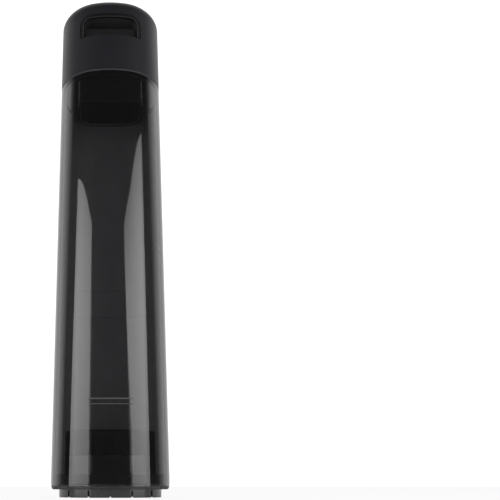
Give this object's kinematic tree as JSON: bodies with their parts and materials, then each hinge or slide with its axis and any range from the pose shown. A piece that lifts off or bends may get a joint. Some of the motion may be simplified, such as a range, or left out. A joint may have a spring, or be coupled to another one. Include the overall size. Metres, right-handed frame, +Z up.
{
  "type": "vacuum clean water tank",
  "caption": "Tall clean water tank for a floor washer: smoked clear front, hollow-legged back, latch button in the cap, hinged filling lid and a spring valve in its lower end.",
  "frame": {"origin": "middle of the whole part's box, on the plane its skirt and feet stand on", "axes": "+X along the width, -Y out of the clear front, +Z up from the valve end to the cap"},
  "size_m": [0.084, 0.0768, 0.4035],
  "materials": {
    "smoked_clear": "smoke-tinted clear, polished",
    "tank_grey": "fine satin",
    "cap_grey": "fine matt texture",
    "button_grey": "fine matt texture",
    "cover_grey": "satin",
    "collar_black": "satin",
    "valve_plastic": "smooth",
    "rubber": "soft moulded rubber",
    "steel": "bright stainless wire"
  },
  "bodies": {
    "tank": {"front_shell": "smoked_clear", "tank_back": "tank_grey", "rear_frame": "tank_grey", "top_cap": "cap_grey", "cap_screws": "steel", "finger_cup": "cap_grey", "neck_collar": "collar_black", "collar_gasket": "rubber", "button_spring_left": "steel", "button_spring_right": "steel", "lid_pin": "steel", "bottom_cover": "cover_grey", "end_gasket": "rubber", "valve_bush": "cover_grey", "bush_ring": "rubber", "bush_nut": "collar_black", "valve_spring": "steel", "strainer_basket": "collar_black"},
    "button": {"release_button": "button_grey"},
    "lid": {"fill_lid": "cap_grey", "lid_seal": "rubber", "vent_valve": "rubber"},
    "poppet": {"valve_poppet": "valve_plastic", "poppet_seal": "rubber"}
  },
  "joints": [
    {"name": "button_press", "type": "slide", "parent": "tank", "child": "button", "axis": [0, 0, -1], "range_m": [0, 0.004], "stiffness_N_per_m": 300, "springref_m": -0.01, "deforming": ["button_spring_left", "button_spring_right"]},
    {"name": "lid_hinge", "type": "hinge", "parent": "tank", "child": "lid", "pos_m": [0, 0.013, 0.3975], "axis": [-1, 0, 0], "range_deg": [0, 105]},
    {"name": "valve_lift", "type": "slide", "parent": "tank", "child": "poppet", "axis": [0, 0, 1], "range_m": [0, 0.005], "stiffness_N_per_m": 250, "springref_m": -0.012, "deforming": ["valve_spring"]}
  ]
}
